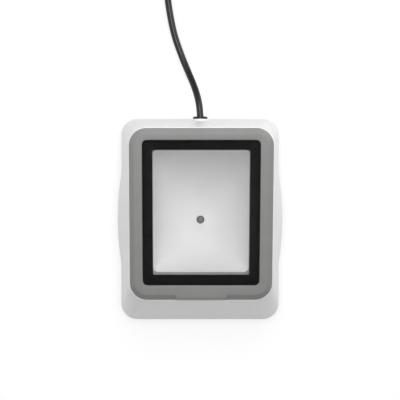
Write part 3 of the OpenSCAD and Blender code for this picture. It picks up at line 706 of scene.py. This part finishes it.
def tongue_front(share, w, tongue_v, tongue_w):
    """Right half of a front run that steps from the tongue to the bevel."""
    front = -COVER_L / 2
    bevel_v = FRONT_BEVEL * share
    tip, root = (
        TONGUE_HALF - TONGUE_SLANT * max(0, 1 - v / FRONT_BEVEL) for v in (tongue_v, bevel_v)
    )
    run = [(u, front + tongue_v, tongue_w) for u in (*FRONT_U, tip)]
    return run + [(root, front + bevel_v, w), (FRONT_END, front + bevel_v, w)]


def make_cover():
    """Bevelled frame with its tongue, the seat for the pane and the duct to the bowl."""
    inside = (BEVEL + TOP_FLAT, COVER_H)
    bevel = softened([(0, 0), (BEVEL, COVER_H), inside], BEVEL_SOFT, BEVEL_STEPS)
    tongue = softened(
        [(0, 0), (TONGUE_SET, COVER_H - TONGUE_DROP), (TONGUE_SET + TONGUE_BEVEL, COVER_H), inside],
        TONGUE_SOFT, BEVEL_STEPS // 2,
    )
    rings = []
    for (x, w), (tv, tw) in zip(bevel, tongue):
        share = x / BEVEL
        front, side = FRONT_BEVEL * share, BEVEL * share
        half_l, v0 = (COVER_L - front - side) / 2, (front - side) / 2
        run = tongue_front(share, w, tv, tw)
        rings.append(ring_of(COVER_W / 2 - side, half_l, COVER_R - side, v0, w, run))
    seat = (GLASS_W / 2 + FIT, GLASS_L / 2 + FIT, GLASS_R + FIT)
    floor_w = COVER_H - GLASS_T - GASKET_T - SEAT_CLEAR
    window = (WINDOW_W / 2, WINDOW_L / 2, DUCT_R)
    duct = tuple(d + DUCT_WALL for d in window)
    wall_in = RIM_SHOW - WALL - SPIGOT_GAP
    spigot = (COVER_W / 2 + wall_in, COVER_L / 2 + wall_in, COVER_R + wall_in)
    steps = [  # outline, how far out from it, its middle's v, and the height w
        (seat, SEAT_BREAK, GLASS_V, COVER_H),
        (seat, SEAT_MID, GLASS_V, COVER_H - SEAT_MID),
        (seat, 0, GLASS_V, COVER_H - SEAT_BREAK),
        (seat, 0, GLASS_V, floor_w),
        (window, LIP_BREAK, GLASS_V, floor_w),
        (window, LIP_MID, GLASS_V, floor_w - LIP_MID),
        (window, 0, GLASS_V, floor_w - LIP_BREAK),
        (window, 0, GLASS_V, -DUCT_H / 2),
        (window, 0, GLASS_V, -DUCT_H),
        (duct, 0, GLASS_V, -DUCT_H),
        (duct, 0, GLASS_V, -SPIGOT_H),
        (spigot, 0, 0, -SPIGOT_H),
        (spigot, 0, 0, 0),
    ]
    for (hw, hl, r), out, v0, w in steps:
        hw, hl, r = hw + out, hl + out, r + out
        rings.append(ring_of(hw, hl, r, v0, w, plain_front(v0 - hl, w)))
    add_rings("cover", rings, "cover_grey", ("top_cover",), BOX_SHARP)


make_cover()

# Bowl

MOUTH_HW, MOUTH_HL = WINDOW_W / 2 + MOUTH_OVER, WINDOW_L / 2
MOUTH_POINTS = (10, 22, 26)  # in each corner, across the front and back, and along the sides
SIDE_CURVE, DEPTH_CURVE = 0.9, 1.05  # powers that set how the wall curves in and down
BOX_FADE = 10  # how soon the mouth's own outline gives way to a rounder one
ROUND, SQUARE, SQUARE_FADE = 2, 4, 3  # power of the floor's round, and what the mouth adds to it
MOUTH_STEP = 0.3  # level step round the mouth
INNER_DEGREES, OUTER_DEGREES = range(0, 91, 3), range(90, 6, -6)  # rings of each skin


def bowl_outline(out):
    """Outline of the mouth, moved outwards by out."""
    return rounded(MOUTH_HW + out, MOUTH_HL + out, MOUTH_R + out, *MOUTH_POINTS)


def bowl_ring(degrees, out):
    """Ring from the mouth (0) to the floor (90), on the inner skin or out from it."""
    a = math.radians(degrees)
    c, drop = max(0, math.cos(a)) ** SIDE_CURVE, math.sin(a) ** DEPTH_CURVE
    box, power = c ** BOX_FADE, ROUND + SQUARE * c ** SQUARE_FADE
    ring = []
    for x, y in bowl_outline(out):
        turn = math.atan2(y / MOUTH_HL, x / MOUTH_HW)
        reach = (abs(math.cos(turn)) ** power + abs(math.sin(turn)) ** power) ** (-1 / power)
        ox = (MOUTH_HW + out) * reach * math.cos(turn)
        oy = (MOUTH_HL + out) * reach * math.sin(turn)
        qx, qy = x * box + ox * (1 - box), y * box + oy * (1 - box)
        mx, my, mz = on_slope(qx, qy + GLASS_V, -DUCT_H)
        fx, fy = (FLOOR_R + out) * math.cos(turn), (FLOOR_R + out) * math.sin(turn)
        ring.append((
            fx + (mx - fx) * c, fy + (my - fy) * c,
            BOWL_Z + (mz - BOWL_Z) * (1 - drop) - out * drop,
        ))
    return ring


def make_bowl():
    """Thin white bowl with a flange at its mouth and the camera's hole in its floor."""
    top, under = -DUCT_H, -DUCT_H - BOWL_WALL
    turns = [math.atan2(y, x) for x, y, _ in bowl_ring(90, 0)]

    def flat(out, w):
        return [on_slope(x, y + GLASS_V, w) for x, y in bowl_outline(out)]

    def hole(out, down):
        r = HOLE_R + out
        return [(r * math.cos(t), r * math.sin(t), BOWL_Z - down) for t in turns]

    rings = [flat(FLANGE, top), flat(MOUTH_STEP, top)]
    rings += [bowl_ring(degrees, 0) for degrees in INNER_DEGREES]
    rings += [hole(LIP_BREAK, 0), hole(LIP_MID, LIP_MID), hole(0, LIP_BREAK), hole(0, BOWL_WALL)]
    rings += [bowl_ring(degrees, BOWL_WALL) for degrees in OUTER_DEGREES]
    rings += [flat(BOWL_WALL, under), flat(FLANGE, under)]
    add_rings("bowl", rings, "bowl_white", ("diffuser",), BOX_SHARP)


make_bowl()

# Grommet

GROMMET_FIT, GROMMET_SOFT, GROMMET_SIDES = 0.02, 0.55, 64  # play round the lead, edges' arcs
FACE_W = 0.9  # level ring round the lead
INNER_T, INNER_TAPER = 1.6, 0.5  # the collar inside the housing


def make_grommet():
    """Turned rubber grommet: collar with a rounded rim, neck and inner collar."""
    bore = CORD_D / 2 + GROMMET_FIT
    collar, neck = COLLAR_D / 2, NECK_D / 2
    back = BOSS_Y - BOSS_BACK + COLLAR_T
    end = back + INNER_T
    profile = [
        (bore, 0.0), (bore + FACE_W, 0.0), (collar, 0.0), (collar, COLLAR_T), (neck, COLLAR_T),
        (neck, back), (collar, back), (collar - INNER_TAPER, end), (bore, end),
    ]
    turns = [2 * math.pi * k / GROMMET_SIDES for k in range(GROMMET_SIDES)]
    rings = [
        [(r * math.cos(t), EXIT.y - deep, EXIT.z + r * math.sin(t)) for t in turns]
        for r, deep in softened(profile, GROMMET_SOFT, steps=5)
    ]
    add_rings("grommet", rings, "cord_black", ("cable_grommet",))


make_grommet()

# Stage

FLOOR_HALF = 3000.0
TABLE_FINISH = ((0.82, 0.82, 0.82), 0.9, 1.5, 0.0, 0.0, 40)  # in the order of FINISHES
WHITE_SHARE, WHITE_LEVEL = 0.7, 1.17  # how much of a plain white the table shows to the eye
PAINTED_SHADOW_REACH, PAINTED_SHADOW_DEPTH = 5.0, 0.25  # how far, and how much, a contact shadow is painted into the table's paleness where things touch it


def make_floor():
    """White table, paler where a camera, gloss or glass sees it, with a shadow painted into that
    paleness at each contact.
    """
    mesh = bpy.data.meshes.new("table")
    h = FLOOR_HALF * MM
    mesh.from_pydata([(-h, -h, 0), (h, -h, 0), (h, h, 0), (-h, h, 0)], [], [(0, 1, 2, 3)])
    floor = bpy.data.objects.new("table", mesh)
    bpy.context.scene.collection.objects.link(floor)
    material = surface("table", *TABLE_FINISH)
    new, link = material.node_tree.nodes.new, material.node_tree.links.new
    # Painted contact shadow: ambient occlusion dims the table's camera-seen paleness where things
    # touch it
    touch, white = new("ShaderNodeAmbientOcclusion"), new("ShaderNodeEmission")
    touch.inputs["Distance"].default_value = PAINTED_SHADOW_REACH * MM
    painted_shadow_level = WHITE_LEVEL * (1 - PAINTED_SHADOW_DEPTH)
    level = ranged(new, link, touch.outputs["AO"], painted_shadow_level, WHITE_LEVEL, 0, 1)
    link(level, white.inputs["Strength"])
    seen = any_ray(new, link, ("Is Camera Ray", "Is Glossy Ray", "Is Transmission Ray"))
    share = math_node(new, link, "MULTIPLY", seen, WHITE_SHARE)
    mixed(material, new, link, share, white.outputs["Emission"])
    mesh.materials.append(material)


SKY_LEVEL = 0.35
SKY_GLOWS = [  # where each glow is brightest, how tight it is and how strong
    ((0.45, 0.05, 0.9), 16.0, 0.93),
    ((0, -0.4, 0.92), 16.0, 0.33),
]


def make_world():
    """Even pale studio with two soft glows overhead, one to the right and one to the front."""
    world = bpy.data.worlds.new("studio")
    bpy.context.scene.world = world
    world.use_nodes = True
    tree, new, link = node_tree(world)
    coords = new("ShaderNodeTexCoord").outputs["Generated"]
    total = SKY_LEVEL
    for direction, tightness, strength in SKY_GLOWS:
        dot = new("ShaderNodeVectorMath")
        dot.operation = "DOT_PRODUCT"
        link(coords, dot.inputs[0])
        dot.inputs[1].default_value = Vector(direction).normalized()
        facing = math_node(new, link, "MAXIMUM", dot.outputs["Value"], 0.0)
        glow = math_node(new, link, "POWER", facing, tightness)
        scaled = math_node(new, link, "MULTIPLY", glow, strength)
        total = math_node(new, link, "ADD", scaled, total)
    background, out = new("ShaderNodeBackground"), new("ShaderNodeOutputWorld")
    background.inputs["Color"].default_value = (1, 1, 1, 1)
    link(total, background.inputs["Strength"])
    link(background.outputs["Background"], out.inputs["Surface"])


SOFTBOX_SIDE, SOFTBOX_AIM = 180.0, Vector((0, 0, 40))
SOFTBOXES = {  # where each lamp hangs, and its watts
    "top_box": ((0, 150, 350), 0.59),
    "right_box": ((230, 200, 100), 0.184),
    "left_box": ((-300, 120, 160), 0.117),
}


def make_lamps():
    """Square soft lamps, turned to the scanner."""
    for name, (at, watts) in SOFTBOXES.items():
        data = bpy.data.lights.new(name, "AREA")
        data.shape = "SQUARE"
        data.size = SOFTBOX_SIDE * MM
        data.energy = watts
        lamp = bpy.data.objects.new(name, data)
        lamp.location = Vector(at) * MM
        lamp.rotation_mode = "QUATERNION"
        lamp.rotation_quaternion = (SOFTBOX_AIM - Vector(at)).to_track_quat("-Z", "Y")
        bpy.context.scene.collection.objects.link(lamp)


make_floor()
make_world()
make_lamps()
bpy.context.scene.view_settings.view_transform = "Standard"

bpy.context.view_layer.update()
